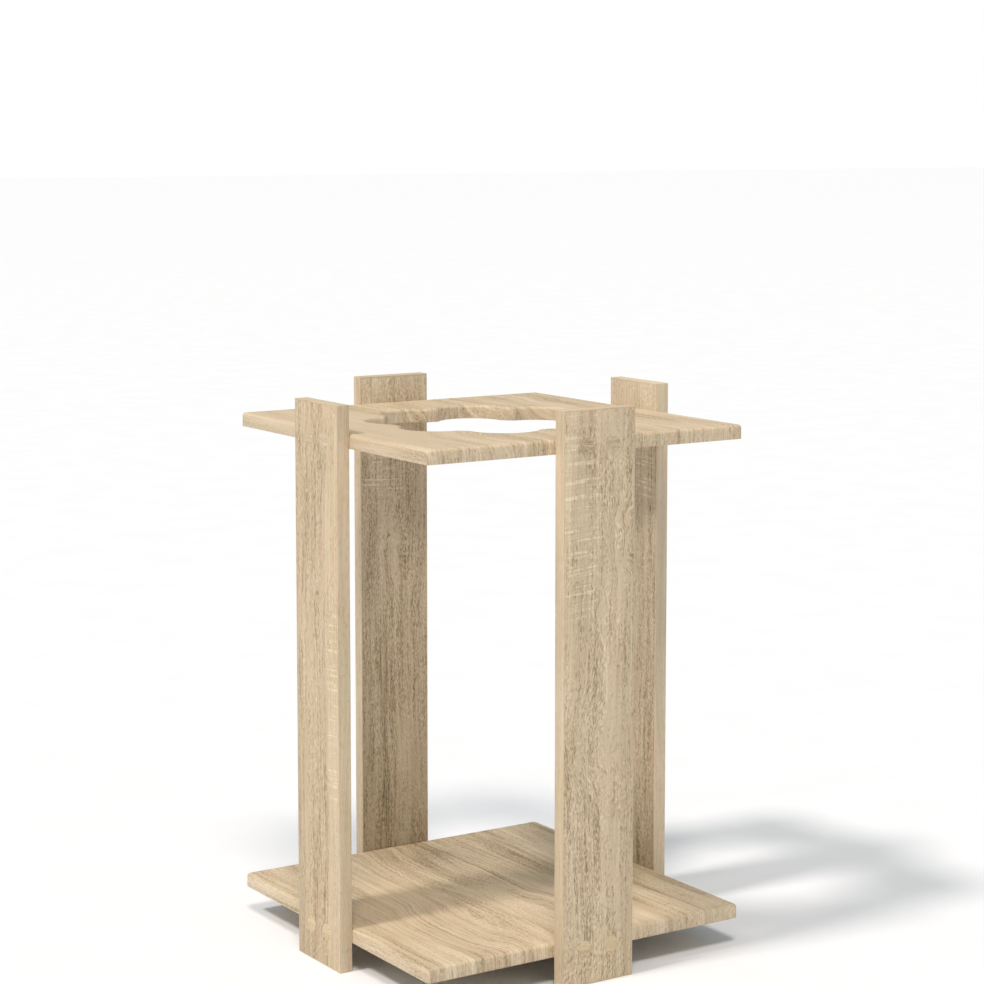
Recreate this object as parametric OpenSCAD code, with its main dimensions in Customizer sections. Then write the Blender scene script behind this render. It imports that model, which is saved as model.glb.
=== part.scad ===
// Free-standing rack for fishing rods: two square panels held between four flat uprights.
// Frame: +Z up, origin on the floor under the middle, front upright on the -Y side.

/* [Panels] */
// Side of both square panels
panel_side = 310; // [280:5:360]
// Thickness of both panels
panel_t = 12; // [10:0.5:16]
// Round-over along the panels' top edges and the mouth of the hole
panel_round = 3; // [1:0.5:3.5]
// Radius of the panels' upright corners
panel_corner_r = 3.5; // [3.5:0.5:12]
// Floor to the underside of the bottom panel
foot_clear = 24; // [15:1:60]
// Clear height between the two panels
bay_h = 400; // [300:5:500]

/* [Scalloped hole] */
// Number of rod notches round the hole
notch_count = 8; // [5:1:9]
// Radius of the round hole in the middle
core_r = 88; // [80:1:95]
// Radius of one rod notch
notch_r = 29; // [24:0.5:32]
// Distance of the notches' centres from the middle
notch_centre_r = 75; // [70:1:80]

/* [Uprights] */
// Width of an upright, edge bands included
upright_w = 70; // [56:1:100]
// Thickness of an upright
upright_t = 12; // [11:0.5:16]
// How far an upright stands above the top panel
tip_rise = 24; // [10:1:60]
// Thickness of the edge bands glued round an upright
band_t = 1; // [0.5:0.1:2]

/* [Screws and plugs] */
// Distance between the two screws of a joint
screw_pitch = 26; // [22:1:34]
// Diameter of a screw's shank
screw_d = 4; // [3:0.5:5]
// Length of a screw under its head
screw_len = 45; // [30:1:60]
// Length of a screw's point
point_len = 5; // [3:0.5:8]
// Diameter of a screw's head
head_d = 8; // [7:0.5:10]
// Thickness of a screw's head
head_t = 2.5; // [2:0.25:3]
// Length of one arm-to-arm slot of the cross recess
recess_len = 4.5; // [3:0.25:6]
// Width of the recess's slots
recess_w = 1.1; // [0.8:0.1:1.5]
// Depth of the recess
recess_depth = 1.5; // [1:0.1:1.8]
// Diameter of the wood plugs' counterbores
plug_bore_d = 14; // [12:0.5:18]
// Thickness of a wood plug
plug_t = 4; // [2.5:0.25:5]

/* [Clearances] */
// Gap all round a plug in its counterbore
plug_gap = 0.05; // [0.05:0.05:0.3]
// Gap all round a screw's shank in the upright
shank_gap = 0.25; // [0.1:0.05:0.5]
// Gap all round a screw's shank in the panel
pilot_gap = 0.1; // [0.05:0.05:0.2]
// How far a pilot hole runs past the screw's point
pilot_extra = 2; // [1:0.5:5]

/* [Hidden] */
$fn = 96;
SIDES = ["front", "right", "back", "left"];
EDGES = ["left", "right", "top", "foot"];
LEVELS = ["bottom", "top"];

// Heights, from the floor up
bottom_z = foot_clear;
top_z = bottom_z + panel_t + bay_h;
upright_h = top_z + panel_t + tip_rise;
joint_z = [bottom_z + panel_t / 2, top_z + panel_t / 2];

// Places across the rack
panel_edge = panel_side / 2;
upright_y = -panel_edge - upright_t;
board_w = upright_w - 2 * band_t;
board_h = upright_h - 2 * band_t;
corner_at = panel_edge - panel_corner_r;
side_turn = 360 / len(SIDES);

// Fastener places, measured inwards from an upright's outer face
counterbore = plug_t + head_t;
screw_end = counterbore + screw_len;
pilot_len = screw_end - upright_t + pilot_extra;

// Angle from one rod notch to the next; the first lies half a step off the +X axis
notch_step = 360 / notch_count;

// Cutters run this far past the faces they open
past = 1;

// Facets of the panels' round corners
corner_facets = 32;

board_colour = [0.83, 0.73, 0.58];
panel_colour = [0.86, 0.76, 0.62];
band_colour = [0.80, 0.72, 0.57];
plug_colour = [0.84, 0.74, 0.53];
steel_colour = [0.72, 0.73, 0.75];

// Half section of a round post of radius r whose top is rounded over
module rounded_section(r) {
    square([r, panel_t - panel_round]);
    square([r - panel_round, panel_t]);
    translate([r - panel_round, panel_t - panel_round])
        intersection() {
            circle(panel_round);
            square(panel_round);
        }
}

// A plain square panel, sharp underneath and rounded on top, lying on z = 0
module blank_panel() {
    hull($fn = corner_facets)
        for (x = [-corner_at, corner_at], y = [-corner_at, corner_at])
            translate([x, y, 0]) rotate_extrude() rounded_section(panel_corner_r);
}

// Cutter for a round opening of radius r whose mouth flares with the round-over
module flared_cutter(r) {
    rotate_extrude()
        difference() {
            translate([0, -past]) square([r + panel_round, panel_t + 2 * past]);
            translate([r, -2 * past]) square([panel_round + past, panel_t - panel_round + 2 * past]);
            translate([r + panel_round, panel_t - panel_round]) circle(panel_round);
        }
}

// The middle hole and the rod notches round it. Each is turned so that the line where its
// round wall closes falls inside another opening.
module scalloped_cutter() {
    rotate([0, 0, notch_step / 2]) flared_cutter(core_r);
    for (i = [0 : notch_count - 1])
        rotate([0, 0, (i + 0.5) * notch_step])
            translate([notch_centre_r, 0, 0]) rotate([0, 0, 180]) flared_cutter(notch_r);
}

// Puts a child on each of the two screw axes of a joint, its +Z turned inwards
module at_screws(z, y) {
    for (x = [-screw_pitch / 2, screw_pitch / 2])
        translate([x, y, z]) rotate([-90, 0, 0]) children();
}

// Pilot holes of all four joints, in the edges of a panel that lies on z = 0
module pilot_cutters() {
    for (i = [0 : len(SIDES) - 1])
        on_side(i) at_screws(panel_t / 2, -panel_edge - past)
            cylinder(d = screw_d + 2 * pilot_gap, h = pilot_len + past);
}

// Turns a child from the front side to side i
module on_side(i) {
    rotate([0, 0, i * side_turn]) children();
}

module bottom_panel() {
    color(panel_colour)
        translate([0, 0, bottom_z])
            difference() {
                blank_panel();
                pilot_cutters();
            }
}

module top_panel() {
    color(panel_colour)
        translate([0, 0, top_z])
            difference() {
                blank_panel();
                scalloped_cutter();
                pilot_cutters();
            }
}

// The board of an upright, without its bands
module upright() {
    color(board_colour)
        difference() {
            translate([-board_w / 2, upright_y, band_t]) cube([board_w, upright_t, board_h]);
            for (z = joint_z) {
                at_screws(z, upright_y - past) cylinder(d = plug_bore_d, h = counterbore + past);
                at_screws(z, upright_y) cylinder(d = screw_d + 2 * shank_gap, h = upright_t + past);
            }
        }
}

// The long bands cover the ends of the short ones
module band_left() {
    color(band_colour)
        translate([-upright_w / 2, upright_y, 0]) cube([band_t, upright_t, upright_h]);
}

module band_right() {
    color(band_colour)
        translate([board_w / 2, upright_y, 0]) cube([band_t, upright_t, upright_h]);
}

module band_top() {
    color(band_colour)
        translate([-board_w / 2, upright_y, upright_h - band_t]) cube([board_w, upright_t, band_t]);
}

module band_foot() {
    color(band_colour)
        translate([-board_w / 2, upright_y, 0]) cube([board_w, upright_t, band_t]);
}

// One screw along +Z, the underside of its head on z = 0
module screw() {
    difference() {
        translate([0, 0, -head_t]) cylinder(d = head_d, h = head_t);
        for (turn = [0, 90])
            rotate([0, 0, turn])
                translate([-recess_len / 2, -recess_w / 2, -head_t - past])
                    cube([recess_len, recess_w, recess_depth + past]);
    }
    cylinder(d = screw_d, h = screw_len - point_len);
    translate([0, 0, screw_len - point_len])
        cylinder(d1 = screw_d, d2 = screw_d / 8, h = point_len);
}

// The two screws of one joint, seated on the floors of their counterbores
module screws(level) {
    color(steel_colour) at_screws(joint_z[level], upright_y + counterbore) screw();
}

// The two plugs that hide the screw heads, flush with the upright's face
module plugs(level) {
    color(plug_colour)
        at_screws(joint_z[level], upright_y) cylinder(d = plug_bore_d - 2 * plug_gap, h = plug_t);
}

bottom_panel();
top_panel();
for (i = [0 : len(SIDES) - 1])
    on_side(i) {
        upright();
        band_left();
        band_right();
        band_top();
        band_foot();
        for (v = [0 : len(LEVELS) - 1]) {
            screws(v);
            plugs(v);
        }
    }
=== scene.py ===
# %% [markdown]
# # A rod rack of pale oak board
#
# Two square panels are held between four flat uprights. The uprights are screwed to the panels'
# edges from outside, and a round wood plug hides each screw. This lesson dresses the construction
# model: it measures the solids, models each piece again with finer edges, and gives every surface
# a finish made from nodes alone.

# %% Load the construction model
import math

import bmesh
import bpy
from mathutils import Matrix, Vector


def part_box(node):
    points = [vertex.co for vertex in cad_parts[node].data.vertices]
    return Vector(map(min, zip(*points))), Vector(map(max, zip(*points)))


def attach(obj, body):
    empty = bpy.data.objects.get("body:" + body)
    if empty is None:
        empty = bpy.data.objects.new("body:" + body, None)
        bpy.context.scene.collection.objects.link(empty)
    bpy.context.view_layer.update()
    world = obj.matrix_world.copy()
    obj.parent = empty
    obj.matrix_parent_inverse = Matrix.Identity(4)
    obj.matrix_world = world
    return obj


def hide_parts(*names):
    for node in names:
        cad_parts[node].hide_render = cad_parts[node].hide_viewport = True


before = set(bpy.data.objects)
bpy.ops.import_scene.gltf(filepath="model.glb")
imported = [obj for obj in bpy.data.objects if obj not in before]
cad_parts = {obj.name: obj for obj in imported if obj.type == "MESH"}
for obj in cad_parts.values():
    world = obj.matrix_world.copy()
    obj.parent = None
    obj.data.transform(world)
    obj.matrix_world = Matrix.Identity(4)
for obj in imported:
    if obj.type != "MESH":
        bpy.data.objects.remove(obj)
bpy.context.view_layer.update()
scene = bpy.context.scene
SIDES = ["front", "right", "back", "left"]
LEVELS = ["bottom", "top"]
MM = 0.001
print("solids loaded:", len(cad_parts))

# %% [markdown]
# ## The camera
#
# The picture to match was taken from the front left, a little above the upper panel, with the
# uprights almost parallel in it. A long lens from a little over two metres gives that. A small
# downward shift keeps the uprights nearly parallel while the rack stays low in the frame. The
# place is in metres, the angles are in degrees, and the lens and its sensor are in millimetres.

# %% Camera
CAMERA_PLACE = (-1.162, -1.801, 0.6963)
CAMERA_YAW = 32.95
CAMERA_PITCH = 6.05
CAMERA_LENS = 92.4
CAMERA_SENSOR = 36
CAMERA_SHIFT = -0.1

bpy.ops.object.camera_add(
    location=CAMERA_PLACE,
    rotation=(math.radians(90 - CAMERA_PITCH), 0, math.radians(-CAMERA_YAW)),
)
camera = bpy.context.active_object
camera.data.lens = CAMERA_LENS
camera.data.sensor_width = CAMERA_SENSOR
camera.data.shift_y = CAMERA_SHIFT
scene.camera = camera
print("camera stands", round(camera.location.length, 2), "m from the rack")

# %% [markdown]
# ## Helpers for modelling by hand
#
# An operator acts on whatever is selected. So each step starts with nothing selected, and faces
# and edges are then picked in code by where they lie, as a hand would click on them.

# %% Selecting and editing
X, Y, Z = range(3)
SAME_PLACE = 0.001 * MM
SMOOTH_BELOW = 35


def only(piece):
    """Selects one object and makes it the active one."""
    bpy.ops.object.select_all(action="DESELECT")
    piece.select_set(True)
    bpy.context.view_layer.objects.active = piece


def new_piece(name):
    """Names the primitive just added and settles its place into its mesh."""
    piece = bpy.context.active_object
    piece.name = name
    piece.data.name = name
    bpy.ops.object.transform_apply(location=True, rotation=True, scale=True)
    return piece


def edit(piece, mode):
    """Opens a piece for editing its vertices, edges or faces."""
    only(piece)
    bpy.ops.object.mode_set(mode="EDIT")
    bpy.ops.mesh.select_mode(type=mode)


def close_edit():
    """Ends editing."""
    bpy.ops.object.mode_set(mode="OBJECT")


def pick(kind, wanted):
    """Selects the edges or faces for which wanted(element) is true."""
    mesh = bpy.context.active_object.data
    bpy.ops.mesh.select_all(action="DESELECT")
    shape = bmesh.from_edit_mesh(mesh)
    for element in getattr(shape, kind):
        if wanted(element):
            element.select_set(True)
    shape.select_flush_mode()
    bmesh.update_edit_mesh(mesh)


def lies_at(edge, axis, value):
    """True if both ends of an edge have that coordinate."""
    return all(abs(v.co[axis] - value) < SAME_PLACE for v in edge.verts)


def bore(piece, cutter):
    """Cuts one mesh out of another and throws the cutter away."""
    only(piece)
    step = piece.modifiers.new("bore", "BOOLEAN")
    step.object = cutter
    step.solver = "EXACT"
    bpy.ops.object.modifier_apply(modifier=step.name)
    bpy.data.objects.remove(cutter)


def smooth(piece):
    """Shades round edges smooth and leaves sharp ones sharp."""
    only(piece)
    bpy.ops.object.shade_smooth_by_angle(angle=math.radians(SMOOTH_BELOW))


print("edges bent by less than", SMOOTH_BELOW, "degrees are shaded smooth")

# %% [markdown]
# ## Sizes
#
# The places come from the solids, so nothing has to be fitted. Only the radii and the notches
# can't be read from a box, and they repeat the construction's own values.

# %% Sizes from the solids
low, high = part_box("bottom_panel")
PANEL_SIDE = high.x - low.x
PANEL_T = high.z - low.z
PANEL_Z = {level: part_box(level + "_panel")[0].z for level in LEVELS}
PANEL_EDGE = PANEL_SIDE / 2
CORNER_R = 3.5 * MM
ROUND = 3 * MM
CORE_R = 88 * MM
NOTCH_R = 29 * MM
NOTCH_AT = 75 * MM
NOTCHES = 8
print("panels", round(PANEL_SIDE / MM), "mm square and", round(PANEL_T / MM), "mm thick")

# %% [markdown]
# ## Laying the print
#
# The boards wear a printed oak foil. To draw it, a finish has to know how far a point lies across,
# into and along the grain, in millimetres. Each piece therefore carries these three distances on
# its own corners, in an attribute called print, and keeps them when it is copied and turned. On
# an upright they are the front board's own axes. On a panel the foil is drawn down over the
# edges, so the print goes on as if the edge were unrolled: the depth below the upper face is
# added in the direction in which the edge faces. The underside is a second sheet of the same foil,
# so its print lies a step deeper in the figure.

# %% Print coordinates
UNDERSIDE_SHIFT = 40
LEVEL_SLOPE = 0.5


def lay_print(piece, rule):
    """Stores rule(point, normal), the place in the grain in millimetres, on every face corner."""
    mesh = piece.data
    layer = mesh.attributes.new("print", "FLOAT_VECTOR", "CORNER")
    for face in mesh.polygons:
        for corner in face.loop_indices:
            point = mesh.vertices[mesh.loops[corner].vertex_index].co / MM
            normal = mesh.corner_normals[corner].vector
            layer.data[corner].vector = rule(point, normal)


def standing(point, normal):
    """Grain that stands, as on the boards."""
    return point.x, point.y, point.z


def standing_strip(point, normal):
    """Grain that stands, on the narrow side of an upright."""
    return point.y, point.x, point.z


def level_strip(point, normal):
    """Grain that lies across the end of an upright."""
    return point.y, point.z, point.x


def end_of_peg(point, normal):
    """Level grain, as on the plugs."""
    return point.z, point.y, point.x


def wrapped(level):
    """Grain from front to back, drawn down over the edges of a panel."""
    upper_face = (PANEL_Z[level] + PANEL_T) / MM

    def rule(point, normal):
        if normal.z < -LEVEL_SLOPE:
            return point.x, UNDERSIDE_SHIFT, point.y
        below = upper_face - point.z
        return point.x + normal.x * below, 0, point.y + normal.y * below

    return rule


print("the foil runs down", round(PANEL_T / MM), "mm of a panel's edge")

# %% [markdown]
# ## The panels
#
# Each panel is a board with a decor foil drawn over it, so its upper edges are rounded and its
# lower edges stay sharp. A cube with bevelled edges would do for the lower one, but the upper one
# has a scalloped hole. So both start as a flat outline. The outline of the hole is drawn as with
# a compass: Spin turns one vertex about a centre and leaves an arc of edges behind it. Each rod
# notch, the eased tip beside it and the short stretch of the middle circle is one such arc.

# %% The scalloped outline
TIP_EASE = 5 * MM
NOTCH_STEPS = 48
TIP_STEPS = 8
CORE_STEPS = 4
DOT = 1 * MM


def on_circle(radius, angle, centre=(0, 0)):
    """The point of a circle at an angle."""
    return (centre[0] + radius * math.cos(angle), centre[1] + radius * math.sin(angle))


def compass(centre, angle, steps, z):
    """Draws an arc from the selected vertex, anticlockwise for a positive angle."""
    bpy.ops.mesh.spin(
        steps=steps,
        angle=abs(angle),
        center=(centre[0], centre[1], z),
        axis=(0, 0, -1 if angle > 0 else 1),
    )


def draw_scallops(z):
    """Draws the outline of the hole at height z, in the mesh that is being edited."""
    step = 2 * math.pi / NOTCHES
    ease_at = CORE_R + TIP_EASE
    reach = NOTCH_R + TIP_EASE
    ease_turn = math.acos((ease_at**2 + NOTCH_AT**2 - reach**2) / (2 * ease_at * NOTCH_AT))
    across = ease_at * math.sin(ease_turn)
    along = ease_at * math.cos(ease_turn) - NOTCH_AT
    notch_turn = math.atan2(across, along)
    first = step / 2
    start = on_circle(NOTCH_R, first - notch_turn, on_circle(NOTCH_AT, first))
    bpy.ops.mesh.primitive_plane_add(size=DOT, location=(start[0], start[1], z))
    bpy.ops.mesh.merge(type="CENTER")
    for i in range(NOTCHES):
        middle = (i + 0.5) * step
        compass(on_circle(NOTCH_AT, middle), 2 * notch_turn, NOTCH_STEPS, z)
        compass(on_circle(ease_at, middle + ease_turn), ease_turn - notch_turn, TIP_STEPS, z)
        compass((0, 0), step - 2 * ease_turn, CORE_STEPS, z)
        compass(on_circle(ease_at, middle + step - ease_turn), ease_turn - notch_turn, TIP_STEPS, z)


print("hole", round(2 * (NOTCH_AT + NOTCH_R) / MM), "mm across its notches")

# %% [markdown]
# The outline becomes a board in four moves. Fill spans it with faces, Inset lays a narrow strip
# along every edge, Extrude gives the thickness, and Bevel rounds the upper edges over. The strip
# matters: without it the bevel would cut across the long thin triangles of the fill.

# %% Panels
STRIP = 3.3 * MM
SHARP_EDGE = 0.25 * MM
CORNER_STEPS = 6
ROUND_STEPS = 6
EASE_STEPS = 2
MERGE_WITHIN = 0.01 * MM


def is_rim(edge, z):
    """True for an edge at height z between a level face and an upright one."""
    slopes = [abs(face.normal.z) for face in edge.link_faces]
    return lies_at(edge, Z, z) and len(slopes) == 2 and min(slopes) < LEVEL_SLOPE < max(slopes)


def make_panel(level, with_hole):
    """Models one panel at its place."""
    z = PANEL_Z[level]
    bpy.ops.object.select_all(action="DESELECT")
    bpy.ops.mesh.primitive_plane_add(size=PANEL_SIDE, location=(0, 0, z))
    panel = new_piece("panel_" + level)
    edit(panel, "VERT")
    bpy.ops.mesh.select_all(action="SELECT")
    bpy.ops.mesh.bevel(offset=CORNER_R, segments=CORNER_STEPS, affect="VERTICES")
    bpy.ops.mesh.select_all(action="SELECT")
    bpy.ops.mesh.delete(type="ONLY_FACE")
    if with_hole:
        draw_scallops(z)
    bpy.ops.mesh.select_all(action="SELECT")
    bpy.ops.mesh.remove_doubles(threshold=MERGE_WITHIN)
    bpy.ops.mesh.select_all(action="SELECT")
    bpy.ops.mesh.fill(use_beauty=True)
    bpy.ops.mesh.select_all(action="SELECT")
    bpy.ops.mesh.inset(thickness=STRIP, depth=0)
    bpy.ops.mesh.select_all(action="SELECT")
    bpy.ops.mesh.extrude_region_move(TRANSFORM_OT_translate={"value": (0, 0, PANEL_T)})
    bpy.ops.mesh.select_all(action="SELECT")
    bpy.ops.mesh.normals_make_consistent(inside=False)
    bpy.ops.mesh.select_mode(type="EDGE")
    pick("edges", lambda edge: is_rim(edge, z + PANEL_T))
    bpy.ops.mesh.bevel(offset=ROUND, segments=ROUND_STEPS, profile=0.5, affect="EDGES")
    pick("edges", lambda edge: is_rim(edge, z))
    bpy.ops.mesh.bevel(offset=SHARP_EDGE, segments=EASE_STEPS, affect="EDGES")
    close_edit()
    smooth(panel)
    print(panel.name, "has", len(panel.data.polygons), "faces")
    return panel


panels = {"bottom": make_panel("bottom", False), "top": make_panel("top", True)}

# %% [markdown]
# ## Pilot holes
#
# The screws run through the uprights into the panels' edges, in pilot holes that are bored before
# the rack is put together. One thin cylinder is turned into a row of cutters round each panel,
# and a Boolean step cuts them all at once. Each cutter stands a little out of the panel, because
# a Boolean step can fail where two faces lie in one plane. The holes could be built into the
# mesh by hand, but they end up hidden, so their rims need no such care.

# %% Pilot holes
PILOT_D = 4.2 * MM
PILOT_DEEP = 40.5 * MM
PILOT_SIDES = 32
CUT_OVER = 1 * MM
SCREW_PITCH = 26 * MM
SCREW_X = {"left": -SCREW_PITCH / 2, "right": SCREW_PITCH / 2}
JOINT_Z = {level: PANEL_Z[level] + PANEL_T / 2 for level in LEVELS}


def pin(name, diameter, length, outer_end, sides):
    """A round pin that lies along Y, its outer end at a point."""
    x, y, z = outer_end
    bpy.ops.object.select_all(action="DESELECT")
    bpy.ops.mesh.primitive_cylinder_add(
        vertices=sides,
        radius=diameter / 2,
        depth=length,
        location=(x, y + length / 2, z),
        rotation=(math.pi / 2, 0, 0),
    )
    return new_piece(name)


def turned_copy(piece, name, quarter_turns):
    """A copy with its own mesh, turned about the rack's upright axis."""
    copy = piece.copy()
    copy.data = piece.data.copy()
    copy.name = name
    copy.data.name = name
    copy.data.transform(Matrix.Rotation(quarter_turns * math.pi / 2, 4, "Z"))
    scene.collection.objects.link(copy)
    return copy


def on_all_sides(front, names):
    """Turns copies of a front piece to the other sides, and returns all four by their side."""
    pieces = {"front": front}
    for turn, side in enumerate(SIDES[1:], start=1):
        pieces[side] = turned_copy(front, names.format(side), turn)
    return pieces


def joined(parts):
    """Joins several meshes into the first one."""
    only(parts[0])
    for part in parts:
        part.select_set(True)
    bpy.ops.object.join()
    return parts[0]


for level in LEVELS:
    cutters = []
    for x in SCREW_X.values():
        outer_end = (x, -PANEL_EDGE - CUT_OVER, JOINT_Z[level])
        cutter = pin("pilot_front", PILOT_D, PILOT_DEEP + CUT_OVER, outer_end, PILOT_SIDES)
        cutters += on_all_sides(cutter, "pilot_{}").values()
    bore(panels[level], joined(cutters))
    smooth(panels[level])
    lay_print(panels[level], wrapped(level))
    print(panels[level].name, "has", len(cutters), "pilot holes")

# %% [markdown]
# ## The uprights
#
# An upright is a plain board. The only round things in it are the stepped holes for the screws:
# a wide counterbore that the plug closes, and a narrower hole for the shank. So a cube with
# bevelled edges makes the board, and one cutter with a step in it makes both parts of a hole, just
# in line. The rim is eased last, because a cutter leaves it dead sharp. All four uprights are
# alike: the front one is modelled once and turned into the other three.

# %% Upright
low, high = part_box("front_upright")
BOARD_SIZE = high - low
BOARD_CENTRE = (low + high) / 2
OUTER_Y = low.y
BORE_D = 14 * MM
BORE_DEEP = 6.5 * MM
BORE_SIDES = 64
SHANK_D = 4.5 * MM
BOARD_EASE = 0.2 * MM
RIM_EASE = 0.08 * MM
RIM_WITHIN = 0.1 * MM
LONGEST_RIM_EDGE = 1 * MM
SQUARE_ON = 0.99


def stepped_cutter(x, z):
    """A cutter for one stepped screw hole: the wide end is inset and drawn out through the board."""
    outer_end = (x, OUTER_Y - CUT_OVER, z)
    cutter = pin("cutter", BORE_D, BORE_DEEP + CUT_OVER, outer_end, BORE_SIDES)
    inner_end = OUTER_Y + BORE_DEEP
    edit(cutter, "FACE")
    pick("faces", lambda face: face.normal.y > SQUARE_ON)
    bpy.ops.mesh.inset(thickness=(BORE_D - SHANK_D) / 2, depth=0)
    through = BOARD_CENTRE.y + BOARD_SIZE.y / 2 + CUT_OVER - inner_end
    bpy.ops.mesh.extrude_region_move(TRANSFORM_OT_translate={"value": (0, through, 0)})
    close_edit()
    return cutter


def make_board():
    """Models the front upright's board with its eased edges and stepped holes."""
    bpy.ops.object.select_all(action="DESELECT")
    bpy.ops.mesh.primitive_cube_add(size=1, location=BOARD_CENTRE, scale=BOARD_SIZE)
    board = new_piece("board_front")
    edit(board, "EDGE")
    bpy.ops.mesh.select_all(action="SELECT")
    bpy.ops.mesh.bevel(offset=BOARD_EASE, segments=EASE_STEPS, affect="EDGES")
    close_edit()
    centres = [(x, JOINT_Z[level]) for level in LEVELS for x in SCREW_X.values()]
    bore(board, joined([stepped_cutter(x, z) for x, z in centres]))
    edit(board, "EDGE")

    def on_rim(edge):
        middle = (edge.verts[0].co + edge.verts[1].co) / 2
        near = min(math.hypot(middle.x - x, middle.z - z) for x, z in centres)
        round_a_hole = near < BORE_D / 2 + RIM_WITHIN and edge.calc_length() < LONGEST_RIM_EDGE
        return round_a_hole and lies_at(edge, Y, OUTER_Y)

    pick("edges", on_rim)
    bpy.ops.mesh.bevel(offset=RIM_EASE, segments=1, affect="EDGES")
    close_edit()
    smooth(board)
    lay_print(board, standing)
    return board


boards = on_all_sides(make_board(), "board_{}")
print("boards", len(boards), "with", len(boards["front"].data.polygons), "faces each")

# %% [markdown]
# ## The edge bands
#
# A thin strip is glued round each board and trimmed flush. Its outer edges are scraped slightly
# round, which is what catches the light along an upright. A strip starts as a cube of its own
# size, and only the long edges away from the board are bevelled.

# %% Edge bands
BAND_EDGES = ["left", "right", "top", "foot"]
BAND_ROUND = 0.45 * MM
BAND_STEPS = 4


def make_band(edge_name):
    """Models one strip of the front upright."""
    low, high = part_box("front_band_" + edge_name)
    bpy.ops.object.select_all(action="DESELECT")
    bpy.ops.mesh.primitive_cube_add(size=1, location=(low + high) / 2, scale=high - low)
    band = new_piece("band_front_" + edge_name)
    axis = X if edge_name in ("left", "right") else Z
    outer = low[axis] if edge_name in ("left", "foot") else high[axis]
    edit(band, "EDGE")
    pick("edges", lambda edge: lies_at(edge, axis, outer))
    bpy.ops.mesh.bevel(offset=BAND_ROUND, segments=BAND_STEPS, affect="EDGES")
    close_edit()
    smooth(band)
    lay_print(band, standing_strip if axis == X else level_strip)
    return band


bands = {}
for edge_name in BAND_EDGES:
    four = on_all_sides(make_band(edge_name), "band_{}_" + edge_name)
    bands.update({(side, edge_name): band for side, band in four.items()})
print("bands", len(bands))

# %% [markdown]
# ## The plugs
#
# A plug is a short peg pressed in flush with the board. Its face is sanded level and its edge
# keeps a very fine chamfer, so that no more than a hairline shows round it. A circle drawn on
# the board would look much the same, but the plug is a piece of its own and covers a real hole,
# so it is a cylinder with a bevelled rim. The plugs come from here and there in a strip of
# wood, so each one's print slides on from the last.

# %% Plugs
low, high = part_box("front_plugs_bottom")
PLUG_D = high.z - low.z
PLUG_T = high.y - low.y
PLUG_EASE = 0.12 * MM
PLUG_INSET = 1 * MM
PRINT_STEP = 60


def make_plug(level, hand):
    """Models one plug of the front upright."""
    outer_end = (SCREW_X[hand], OUTER_Y, JOINT_Z[level])
    plug = pin("plug_front_" + level + "_" + hand, PLUG_D, PLUG_T, outer_end, BORE_SIDES)
    edit(plug, "EDGE")
    pick("edges", lambda edge: lies_at(edge, Y, OUTER_Y))
    bpy.ops.mesh.bevel(offset=PLUG_EASE, segments=EASE_STEPS, affect="EDGES")
    pick("faces", lambda face: face.normal.y < -SQUARE_ON)
    bpy.ops.mesh.inset(thickness=PLUG_INSET, depth=0)
    close_edit()
    smooth(plug)
    lay_print(plug, end_of_peg)
    return plug


def slide_print(piece, across):
    """Slides a piece's print across the grain, so that a copy shows a figure of its own."""
    for corner in piece.data.attributes["print"].data:
        corner.vector = corner.vector + Vector((across, 0, 0))


plugs = {}
for level in LEVELS:
    for hand in SCREW_X:
        four = on_all_sides(make_plug(level, hand), "plug_{}_" + level + "_" + hand)
        plugs.update({(side, level, hand): plug for side, plug in four.items()})
for number, plug in enumerate(plugs.values()):
    slide_print(plug, number * PRINT_STEP)
print("plugs", len(plugs))

# %% [markdown]
# ## The oak decor
#
# The whole likeness is in the figure of the oak: short dark pores and pale rays, long fine lines,
# slow growth bands, a heart streak where the lines are stronger, pale and calm stretches, pale
# marks where a saw has run across, and places where the grain bulges and curls. None of that is
# an image here. Each is a noise drawn out along or across the grain, and together they say how
# light the wood is at a point. A ramp then turns that tone into the colours of pale oak.
#
# A plain short noise would look like worms, because its dark spots join up. So the pores and rays
# are dashes: only the peaks of a noise are kept, and each peak stands alone.

# %% Node helpers
ACROSS, ALONG = 0, 2
MIX_SHARE, MIX_FIRST, MIX_SECOND, MIX_RESULT = 0, 6, 7, 2


def add_node(tree, kind, inputs, output=0, **settings):
    """Adds a node, sets it up and returns one of its outputs."""
    made = tree.nodes.new(kind)
    for key, value in settings.items():
        setattr(made, key, value)
    for key, value in inputs.items():
        if isinstance(value, bpy.types.NodeSocket):
            tree.links.new(value, made.inputs[key])
        else:
            made.inputs[key].default_value = value
    return made.outputs[output]


def calc(tree, operation, *operands):
    """One step of arithmetic on sockets or numbers."""
    return add_node(tree, "ShaderNodeMath", dict(enumerate(operands)), operation=operation)


def split(tree, vector):
    """The three parts of a vector."""
    parts = tree.nodes.new("ShaderNodeSeparateXYZ")
    tree.links.new(vector, parts.inputs[0])
    return tuple(parts.outputs)


def soft_step(tree, value, start, end):
    """Rises softly from 0 at start to 1 at end, or falls where start is the larger."""
    inputs = {"Value": value, "From Min": start, "From Max": end}
    return add_node(tree, "ShaderNodeMapRange", inputs, interpolation_type="SMOOTHSTEP")


def add_up(tree, start, terms):
    """Adds (strength, socket) pairs to a first value."""
    result = start
    for strength, socket in terms:
        result = calc(tree, "MULTIPLY_ADD", socket, strength, result)
    return result


def mix_colours(tree, share, first, second, **settings):
    """Mixes two colours, or lays the second over the first in the way that the settings name."""
    inputs = {MIX_SHARE: share, MIX_FIRST: first, MIX_SECOND: second}
    return add_node(tree, "ShaderNodeMix", inputs, MIX_RESULT, data_type="RGBA", **settings)


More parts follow.
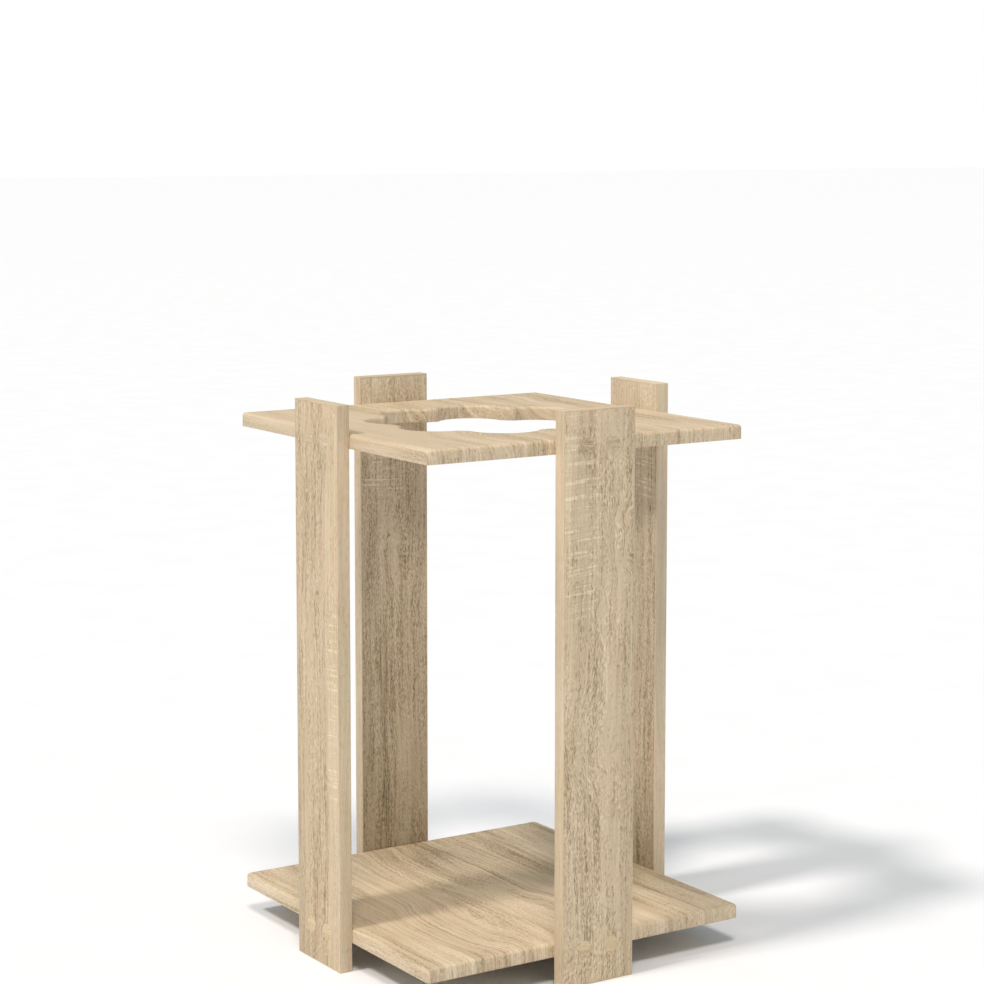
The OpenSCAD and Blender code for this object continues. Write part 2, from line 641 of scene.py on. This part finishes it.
def new_finish(name):
    """A new material, with its node tree and its shader."""
    material = bpy.data.materials.new(name)
    material.use_nodes = True
    return material, material.node_tree, material.node_tree.nodes["Principled BSDF"]


def add_bump(tree, shader, height, strength, depth):
    """Turns a height into relief on a shader, of a depth in metres."""
    bump = {"Height": height, "Strength": strength, "Distance": depth}
    tree.links.new(add_node(tree, "ShaderNodeBump", bump), shader.inputs["Normal"])


print("sockets of a colour mix:", MIX_SHARE, MIX_FIRST, MIX_SECOND)

# %% [markdown]
# Every kind of mark is a noise of its own size. The table gives that size in millimetres, across
# and along the grain, and a number that is added to the seed of the wood, so that no two kinds
# fall in the same places. Only the peaks of the short ones are kept, as dashes.

# %% Marks of the grain
NOISE_MEAN = 0.5
GRAIN_DEPTH = 9
GRAIN = {
    "wander": (70, 190, 0),
    "ripple": (11, 45, 7),
    "curl waves": (25, 8, 13),
    "saw wander": (26, 70, 0),
    "strong saw lines": (60, 2.2, 21),
    "faint saw lines": (30, 1.1, 22),
    "saw gaps": (5, 4, 23),
    "heart": (5, 50, 3),
    "speckle": (16, 40, 5),
    "crowding": (4, 90, 35),
    "lines": (1.3, 60, 32),
    "pores": (1.0, 7, 31),
    "specks": (0.9, 2.8, 33),
    "rays": (0.9, 3.2, 34),
    "thin bands": (2.6, 120, 39),
    "slow bands": (6, 210, 36),
    "wide bands": (24, 330, 37),
    "patches": (9, 50, 38),
    "hue": (14, 60, 41),
}
DASH_FROM = {"pores": 0.05, "specks": 0.0, "rays": 0.05}
DASH_RIM = 0.1
CROWDING_PULL = 0.5


def noise(tree, where, size, seed, detail=1.0):
    """Noise about 0, with marks of a size in millimetres across, into and along the grain."""
    parts = [calc(tree, "DIVIDE", socket, length) for socket, length in zip(where, size)]
    parts[ACROSS] = calc(tree, "ADD", parts[ACROSS], seed)
    vector = add_node(tree, "ShaderNodeCombineXYZ", dict(enumerate(parts)))
    inputs = {"Vector": vector, "Scale": 1.0, "Detail": detail}
    return calc(tree, "SUBTRACT", add_node(tree, "ShaderNodeTexNoise", inputs), NOISE_MEAN)


def grain(tree, where, mark, seed, detail=1.0):
    """The noise of one kind of mark."""
    across, along, own_seed = GRAIN[mark]
    return noise(tree, where, (across, GRAIN_DEPTH, along), seed + own_seed, detail)


def dashes(tree, where, mark, seed, crowding):
    """1 on short separate strokes along the grain, denser where the crowding is high."""
    dash = add_up(tree, grain(tree, where, mark, seed, detail=0.0), [(CROWDING_PULL, crowding)])
    return soft_step(tree, dash, DASH_FROM[mark], DASH_FROM[mark] + DASH_RIM)


print("kinds of mark", len(GRAIN))

# %% [markdown]
# What the board shows in one place only, such as a streak or a calm stretch, is held by a zone:
# an oval round a point of the face, full in the middle and faded at the rim.

# %% Zones
ZONE_FULL = 0.15


def zone(tree, where, centre, reach, lean=0.0):
    """1 at a place of the face, falling to 0 at its reach across and along the grain. A leaning
    zone moves across by lean for each millimetre along."""
    along = calc(tree, "SUBTRACT", where[ALONG], centre[1])
    across = calc(tree, "SUBTRACT", where[ACROSS], centre[0])
    across = calc(tree, "MULTIPLY_ADD", along, -lean, across)
    across = calc(tree, "DIVIDE", across, reach[0])
    along = calc(tree, "DIVIDE", along, reach[1])
    square = calc(tree, "MULTIPLY_ADD", across, across, calc(tree, "MULTIPLY", along, along))
    return soft_step(tree, square, 1.0, ZONE_FULL)


def zones(tree, where, listed):
    """The zones in a list, one over the other."""
    result = 0.0
    for each in listed:
        result = calc(tree, "MAXIMUM", result, zone(tree, where, *each))
    return result


print("a zone is full out to", round(math.sqrt(ZONE_FULL), 2), "of its reach")

# %% [markdown]
# First the grain is bent. Two slow noises make it wander. A bulge pushes it aside, as a hidden knot
# does, and waves that run slantwise over the bulge make it curl. Everything drawn afterwards follows
# the bent grain, apart from the saw marks, which lie on top of it.

# %% Bent grain
WANDER_BY = 14.0
RIPPLE_BY = 2.5
CURL_SLANT = -0.6


def bent_grain(tree, where, seed, curls):
    """Where a point lies after the grain has wandered, bulged and curled."""
    across, into, along = where
    terms = [
        (WANDER_BY, grain(tree, where, "wander", seed)),
        (RIPPLE_BY, grain(tree, where, "ripple", seed)),
    ]
    if curls:
        tilted = (across, into, add_up(tree, along, [(CURL_SLANT, across)]))
        waves = grain(tree, tilted, "curl waves", seed, detail=0.0)
    for centre, reach, bulge, crinkle in curls:
        swing = add_up(tree, bulge, [(crinkle, waves)])
        terms.append((1.0, calc(tree, "MULTIPLY", swing, zone(tree, where, centre, reach))))
    return add_up(tree, across, terms), into, along


print("the grain wanders by at most", (WANDER_BY + RIPPLE_BY) * NOISE_MEAN, "mm to each side")

# %% [markdown]
# A saw leaves fine lines straight across the board. Strong and faint ones are drawn, wavering a
# little, and then broken up, because a rough surface only takes them here and there.

# %% Saw marks
SAW_SLANT = -0.06
SAW_WANDER_BY = 3.5
SAW_STRONG = (0.05, 0.16)
SAW_FAINT = (0.0, 0.2)
SAW_UNBROKEN = (-0.2, 0.05)
FAINT_SHARE = 0.5
FIBRE_PULL = 2.0


def saw_marks(tree, where, seed, fibres, sawn):
    """Pale lines across the grain, in the stretches where the saw has left them. They are
    stronger on the pale fibres and weaker on the dark ones."""
    across, into, along = where
    wander = grain(tree, where, "saw wander", seed)
    tilted = (across, into, add_up(tree, along, [(SAW_SLANT, across), (SAW_WANDER_BY, wander)]))
    strong = soft_step(tree, grain(tree, tilted, "strong saw lines", seed), *SAW_STRONG)
    faint = soft_step(tree, grain(tree, tilted, "faint saw lines", seed), *SAW_FAINT)
    unbroken = soft_step(tree, grain(tree, where, "saw gaps", seed), *SAW_UNBROKEN)
    marks = calc(tree, "MULTIPLY_ADD", faint, FAINT_SHARE, strong)
    drawn = calc(tree, "MULTIPLY", marks, unbroken)
    grainy = calc(tree, "MULTIPLY", drawn, calc(tree, "MULTIPLY_ADD", fibres, FIBRE_PULL, 1.0))
    return calc(tree, "MULTIPLY", grainy, zones(tree, where, sawn))


print("strong saw lines come from noise of", GRAIN["strong saw lines"][:2], "mm")

# %% [markdown]
# The fine marks come next: long lines, and the dashes of pores, specks and rays. They aren't
# spread evenly. They crowd together in some lanes and in the heart, and thin out in calm zones.

# %% Fine marks
CALMING = -0.3
SPECKLE_CROWDS = 0.8
HEART_CROWDS = 0.25
HEART_GLINTS = 0.35


def fine_marks(tree, where, bent, seed, heart, calm):
    """The lines, pores, specks and rays of a board."""
    speckle = grain(tree, where, "speckle", seed)
    speckle = add_up(tree, speckle, [(CALMING, zones(tree, where, calm))])
    lines = grain(tree, bent, "lines", seed)
    crowding = grain(tree, bent, "crowding", seed)
    crowding = add_up(tree, crowding, [(SPECKLE_CROWDS, speckle), (HEART_CROWDS, heart)])
    pores = dashes(tree, bent, "pores", seed, crowding)
    specks = dashes(tree, bent, "specks", seed, crowding)
    glints = add_up(tree, speckle, [(HEART_GLINTS, heart)])
    rays = dashes(tree, bent, "rays", seed, glints)
    return lines, pores, specks, rays


print("kinds of dash", len(DASH_FROM))

# %% [markdown]
# A tone becomes a colour in a ramp, whose five stops hold the colours of pale oak. Mixing a dark
# and a pale colour would be simpler, but the tones between the two would be duller than oak is.
# A slow noise tints the colours a little cooler or warmer, because oak is never of one hue.

# %% Oak colours
OAK_TONES = [
    (0.0, (0.20, 0.140, 0.080)),
    (0.25, (0.37, 0.275, 0.170)),
    (0.5, (0.580, 0.457, 0.308)),
    (0.75, (0.70, 0.575, 0.415)),
    (1.0, (0.82, 0.71, 0.55)),
]
COOL_TINT = (0.988, 1.004, 0.97)
WARM_TINT = (1.012, 0.996, 1.0)


def oak_colour(tree, tone, tint, stain_and_shade_tint):
    """The colour for a tone, tinted between cool at 0 and warm at 1, and tinted all over by the last
    argument, which is the staining of the wood and, on the boards in shade, painted shade.
    """
    ramp = tree.nodes.new("ShaderNodeValToRGB")
    tree.links.new(tone, ramp.inputs[0])
    stops = ramp.color_ramp.elements
    while len(stops) < len(OAK_TONES):
        stops.new(0.5)
    for stop, (position, colour) in zip(stops, OAK_TONES):
        stop.position = position
        stop.color = (*colour, 1)
    cool, warm = [(*[a * b for a, b in zip(end, stain_and_shade_tint)], 1) for end in (COOL_TINT, WARM_TINT)]
    hue = mix_colours(tree, tint, cool, warm)
    return mix_colours(tree, 1.0, ramp.outputs[0], hue, blend_type="MULTIPLY")


print("oak runs through", len(OAK_TONES), "tones")

# %% [markdown]
# Now the tone is put together. It starts from the tone of plain wood, and each kind of mark
# lightens or darkens it by its own strength. The lines, pores and rays change the roughness or
# the height as well, so the figure also shows in the shine. One function serves every piece of
# wood, since they differ only in where their features lie and how strong they are.

# %% Oak decor
PLAIN_TONE = 0.53
PLAIN_ROUGHNESS = 0.55
TONE = {
    "pores": -0.15,
    "specks": -0.17,
    "rays": 0.19,
    "lines": 0.42,
    "heart lines": 0.30,
    "thin bands": 0.28,
    "slow bands": 0.25,
    "wide bands": 0.30,
    "patches": 0.20,
    "heart": -0.05,
    "pale": 0.14,
    "saw marks": 0.29,
}
ROUGHNESS = {"lines": 0.25, "pores": 0.10}
HEIGHT = {"lines": 0.6, "pores": -0.3, "rays": 0.1}
RELIEF_STRENGTH = 0.35
RELIEF_DEPTH = 0.1 * MM
HEART_FROM = (0.2, 0.8)
QUIETING = -0.5
SPREAD = (-0.2, 0.2)


def oak(
    name,
    seed,
    streaks=(),
    curls=(),
    sawn=(),
    pale=(),
    calm=(),
    quiet=(),
    light=0.0,
    fine=1.0,
    broad=1.0,
    specked=1.0,
    stain_and_shade_tint=(1, 1, 1),
):
    """The printed oak decor. streaks, sawn, pale, calm and quiet are zones: calm ones have few
    pores, and quiet ones a weaker figure. On the right and back boards the pale zone at the top is
    painted light. curls are zones with a bulge and a crinkle. light shifts the whole tone, fine,
    broad and specked set how strong the figure is, and the last argument tints it all: the
    staining of the wood, and on the right and back boards painted shade."""
    material, tree, shader = new_finish(name)
    printed = add_node(tree, "ShaderNodeAttribute", {}, "Vector", attribute_name="print")
    where = split(tree, printed)
    bent = bent_grain(tree, where, seed, curls)
    heart = calc(tree, "ADD", zones(tree, bent, streaks), grain(tree, bent, "heart", seed))
    heart = soft_step(tree, heart, *HEART_FROM)
    lines, pores, specks, rays = fine_marks(tree, where, bent, seed, heart, calm)
    terms = [
        (TONE["pores"] * fine, pores),
        (TONE["specks"] * fine * specked, specks),
        (TONE["rays"] * fine * specked, rays),
        (TONE["lines"] * fine, lines),
        (TONE["heart lines"] * fine, calc(tree, "MULTIPLY", lines, heart)),
    ]
    for band in ("thin bands", "slow bands", "wide bands", "patches"):
        terms.append((TONE[band] * broad, grain(tree, bent, band, seed)))
    terms.append((TONE["heart"] * broad, heart))
    terms.append((TONE["pale"], zones(tree, bent, pale)))
    if sawn:
        terms.append((TONE["saw marks"], saw_marks(tree, where, seed, lines, sawn)))
    figure = add_up(tree, 0.0, terms)
    if quiet:
        strength = add_up(tree, 1.0, [(QUIETING, zones(tree, where, quiet))])
        figure = calc(tree, "MULTIPLY", figure, strength)
    tone = calc(tree, "ADD", figure, PLAIN_TONE + light)
    tint = soft_step(tree, grain(tree, bent, "hue", seed), *SPREAD)
    tree.links.new(oak_colour(tree, tone, tint, stain_and_shade_tint), shader.inputs["Base Color"])
    rough = [(ROUGHNESS["lines"], lines), (ROUGHNESS["pores"], pores)]
    tree.links.new(add_up(tree, PLAIN_ROUGHNESS, rough), shader.inputs["Roughness"])
    raised = [(HEIGHT["lines"], lines), (HEIGHT["pores"], pores), (HEIGHT["rays"], rays)]
    add_bump(tree, shader, add_up(tree, 0.0, raised), RELIEF_STRENGTH, RELIEF_DEPTH)
    return material


print("strengths in the tone", len(TONE))

# %% [markdown]
# ### One decor for each board
#
# No two boards show the same stretch of the print, so each has its own seed, and its streaks,
# curls, saw marks, and pale, calm and quiet stretches are placed as they lie on the real boards.
# The right and back boards differ: the pale stretch at their tops, above the upper panel, is
# painted light, and their cooler tint is painted shade, for the faces that lie in shade under the
# panel. A zone is written as its middle (across, along) and its reach (across, along), in
# millimetres on the board, and a third number, if it has one, is its lean. A curl's last two
# numbers are its bulge and its crinkle. The tone and the strength of the figure differ a little
# as well, because a real batch of boards is never of one shade, and the tint of the other boards
# differs a little too. The bands and the plugs are cut from plainer stock, so their figure is
# weaker.

# %% Board finishes
board_finish = {
    "front": oak(
        "oak_front",
        seed=3.0,
        streaks=[((-3, 285), (6, 62), -0.06), ((-8, 92), (12, 95)), ((10, 442), (7, 2))],
        curls=[((24, 364), (18, 34), 5, 7), ((-12, 203), (28, 48), 6, 5)],
        sawn=[((-20, 385), (28, 110))],
        calm=[((22, 160), (22, 190)), ((-22, 350), (22, 140)), ((0, 480), (60, 40))],
        light=0.05,
        broad=0.85,
        specked=1.1,
        stain_and_shade_tint=(1.01, 1.0, 0.985),
    ),
    "right": oak(
        "oak_right",
        seed=11.0,
        streaks=[((-26, 365), (4, 80)), ((-22, 120), (9, 100)), ((10, 200), (8, 190))],
        curls=[((4, 290), (20, 45), 4, 5)],
        sawn=[((0, 400), (40, 80))],
        # painted light: the pale stretch at the top, above the upper panel, stands in for the light that
        # falls there
        pale=[((0, 480), (70, 60))],
        calm=[((0, 410), (60, 90))],
        light=0.025,
        # painted shade: this cooler tint stands in for the cool shade on the board's faces under the
        # upper panel
        stain_and_shade_tint=(0.97, 1.0, 1.045),
    ),
    "back": oak(
        "oak_back",
        seed=19.0,
        streaks=[((8, 150), (11, 140))],
        curls=[((4, 320), (20, 45), -3, 5)],
        sawn=[((10, 400), (36, 70))],
        # painted light: the pale stretch at the top, above the upper panel, stands in for the light that
        # falls there
        pale=[((0, 480), (70, 60))],
        light=0.01,
        # painted shade: this cooler tint stands in for the cool shade on the board's faces under the
        # upper panel
        stain_and_shade_tint=(0.975, 1.0, 1.045),
    ),
    "left": oak(
        "oak_left",
        seed=27.0,
        streaks=[((-1, 370), (2, 40)), ((-3, 455), (4, 30)), ((9, 110), (10, 115)), ((2, 270), (5, 60))],
        curls=[((-14, 300), (20, 50), 3, 5)],
        sawn=[((27, 265), (16, 60)), ((27, 180), (14, 50))],
        pale=[((29, 236), (22, 330))],
        calm=[((26, 236), (26, 330)), ((-30, 120), (20, 120))],
        light=0.02,
        fine=0.9,
        broad=0.85,
        specked=0.9,
        stain_and_shade_tint=(0.99, 0.967, 0.942),
    ),
}
panel_finish = {
    "bottom": oak(
        "oak_panel_bottom",
        seed=51.0,
        streaks=[((-40, -60), (10, 120), 0.1), ((70, 20), (12, 160))],
        curls=[((-85, -75), (45, 75), 9, 3), ((40, -80), (40, 60), -8, 2), ((-20, 70), (50, 80), 9, 3)],
        calm=[((-100, -20), (70, 150)), ((60, -60), (50, 130))],
        light=0.05,
        fine=0.9,
        broad=1.9,
        specked=0.8,
    ),
    "top": oak(
        "oak_panel_top",
        seed=57.0,
        streaks=[((-90, -60), (10, 120)), ((120, -40), (14, 100))],
        curls=[((-90, -110), (40, 60), 8, 2), ((110, 60), (40, 60), 8, 2)],
        pale=[((-130, 90), (60, 120))],
        calm=[((-100, 0), (80, 170)), ((110, 0), (70, 170))],
        quiet=[((-125, 20), (70, 190))],
        light=0.09,
        broad=1.6,
        specked=0.8,
        stain_and_shade_tint=(1.0, 0.982, 0.968),
    ),
}
BAND_LIGHT = {"front": 0.08, "right": 0.22, "back": 0.06, "left": 0.13}
BAND_SEED = 35.0
band_finish = {}
for i, side in enumerate(SIDES):
    band_finish[side] = oak(
        "oak_band_" + side, seed=BAND_SEED + i, light=BAND_LIGHT[side], fine=0.65, specked=0.3
    )
plug_finish = {
    "bottom": oak("plug_wood_bottom", seed=71.0, light=0.07, fine=0.6, stain_and_shade_tint=(1.02, 1.0, 0.91)),
    "top": oak("plug_wood_top", seed=73.0, light=0.04, fine=0.65, stain_and_shade_tint=(1.01, 0.99, 0.98)),
}
print("decors for", len(board_finish), "boards and", len(panel_finish), "panels")

# %% [markdown]
# ### Zinc on the screws, paint on the floor
#
# The screws are hidden once the plugs are in, but they are there, so they wear what such screws
# wear: zinc, cloudy in tone, with finer marks that break up its shine. The floor is matt white
# paint, a little uneven in the same way. Both clouds and marks are noises on the piece's own
# coordinates, since neither follows a grain.

# %% Zinc and floor finishes
CLOUD_SEED = 5.0
MARK_SEED = 9.0
MARKS_PER_CLOUD = 6
MARKS_ROUGHEN = 0.2
MARK_STRENGTH = 0.2
MARK_DEPTH = 0.02 * MM


def own_place(tree):
    """A piece's own coordinates, in millimetres."""
    metres = add_node(tree, "ShaderNodeTexCoord", {}, "Object")
    scaled = {0: metres, 1: (1 / MM, 1 / MM, 1 / MM)}
    return split(tree, add_node(tree, "ShaderNodeVectorMath", scaled, operation="MULTIPLY"))


def mottled(name, cloud_size, dark, pale, roughness, metal):
    """A finish that drifts between two tones in clouds of a size in millimetres."""
    material, tree, shader = new_finish(name)
    shader.inputs["Metallic"].default_value = metal
    where = own_place(tree)
    cloud = noise(tree, where, [cloud_size] * 3, CLOUD_SEED, detail=3.0)
    tones = mix_colours(tree, soft_step(tree, cloud, *SPREAD), (*dark, 1), (*pale, 1))
    tree.links.new(tones, shader.inputs["Base Color"])
    marks = noise(tree, where, [cloud_size / MARKS_PER_CLOUD] * 3, MARK_SEED, detail=2.0)
    tree.links.new(add_up(tree, roughness, [(MARKS_ROUGHEN, marks)]), shader.inputs["Roughness"])
    add_bump(tree, shader, marks, MARK_STRENGTH, MARK_DEPTH)
    return material


zinc = mottled(
    "zinc",
    cloud_size=1.5,
    dark=(0.50, 0.51, 0.53),
    pale=(0.66, 0.67, 0.68),
    roughness=0.34,
    metal=1.0,
)
floor_paint = mottled(
    "floor_paint",
    cloud_size=90,
    dark=(0.87, 0.89, 0.93),
    pale=(0.89, 0.91, 0.95),
    roughness=0.8,
    metal=0.0,
)
print("finishes", len(bpy.data.materials))

# %% [markdown]
# ## Putting it together
#
# Each finished piece takes the place of its solid: it gets its finish, rides on the rack's one
# body and hides the solid it stands for. The screws keep their solids and only get the zinc.

# %% Ride and replace


def dress(piece, material, slot, *nodes):
    """Gives a finished piece its material and its place in the frame."""
    piece.data.materials.clear()
    piece.data.materials.append(material)
    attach(piece, "root")
    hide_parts(*nodes)


for level, panel in panels.items():
    dress(panel, panel_finish[level], "panel_decor", level + "_panel")
for side, board in boards.items():
    dress(board, board_finish[side], "upright_decor", side + "_upright")
for (side, edge_name), band in bands.items():
    dress(band, band_finish[side], "edge_band", side + "_band_" + edge_name)
for (side, level, hand), plug in plugs.items():
    dress(plug, plug_finish[level], "plug_wood", side + "_plugs_" + level)
for name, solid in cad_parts.items():
    if "_screws_" in name:
        solid.data.materials.clear()
        solid.data.materials.append(zinc)
print("pieces placed:", len(panels) + len(boards) + len(bands) + len(plugs))

# %% [markdown]
# ## The floor
#
# The rack stands on a plain pale floor, which takes its soft shadow. A wide plane is enough,
# because nothing but its paint shows.

# %% Floor
FLOOR_SIZE = 60

bpy.ops.object.select_all(action="DESELECT")
bpy.ops.mesh.primitive_plane_add(size=FLOOR_SIZE, location=(0, 0, 0))
floor = new_piece("floor")
floor.data.materials.append(floor_paint)
print("floor laid,", FLOOR_SIZE, "m square")

# %% [markdown]
# ## The light
#
# The picture has two broad lights and a bright room. The stronger light comes from the left, high
# up: it brightens every face that looks that way and throws the left upright's shadow across the
# lower panel. The weaker one comes from over the viewer's head and lights the front faces. Both
# are suns with a wide disc, so their shadows are soft at the rim. Their directions and discs are
# in degrees. A pale, slightly cool dome fills what the suns don't reach. The camera itself sees
# plain white behind the rack.

# %% Light
DOME_COLOUR = (0.84, 0.96, 1.0, 1)
DOME_STRENGTH = 0.41
BACKDROP_COLOUR = (1, 1, 1, 1)
BACKDROP_STRENGTH = 1.0
KEY = {"azimuth": -90, "elevation": 56, "strength": 1.70, "colour": (1.0, 0.92, 0.85), "disc": 8}
FILL = {"azimuth": -30, "elevation": 60, "strength": 1.40, "colour": (1.0, 0.88, 0.79), "disc": 14}

world = bpy.data.worlds.new("studio")
world.use_nodes = True
scene.world = world
tree = world.node_tree
backdrop = tree.nodes["Background"].inputs
backdrop["Color"].default_value = BACKDROP_COLOUR
backdrop["Strength"].default_value = BACKDROP_STRENGTH
dome = add_node(tree, "ShaderNodeBackground", {"Color": DOME_COLOUR, "Strength": DOME_STRENGTH})
seen = add_node(tree, "ShaderNodeLightPath", {}, "Is Camera Ray")
mixed = {0: seen, 1: dome, 2: tree.nodes["Background"].outputs[0]}
tree.links.new(add_node(tree, "ShaderNodeMixShader", mixed), tree.nodes["World Output"].inputs[0])


def sun(name, azimuth, elevation, strength, colour, disc):
    """Adds a sun that shines from a direction, with a disc of some width."""
    around, up = math.radians(azimuth), math.radians(elevation)
    level = math.cos(up)
    towards = Vector((math.sin(around) * level, -math.cos(around) * level, math.sin(up)))
    bpy.ops.object.light_add(type="SUN", rotation=towards.to_track_quat("Z", "Y").to_euler())
    lamp = bpy.context.active_object
    lamp.name = name
    lamp.data.energy = strength
    lamp.data.color = colour
    lamp.data.angle = math.radians(disc)


sun("key", **KEY)
sun("fill", **FILL)
scene.view_settings.view_transform = "Standard"
print("lights", len(bpy.data.lights))
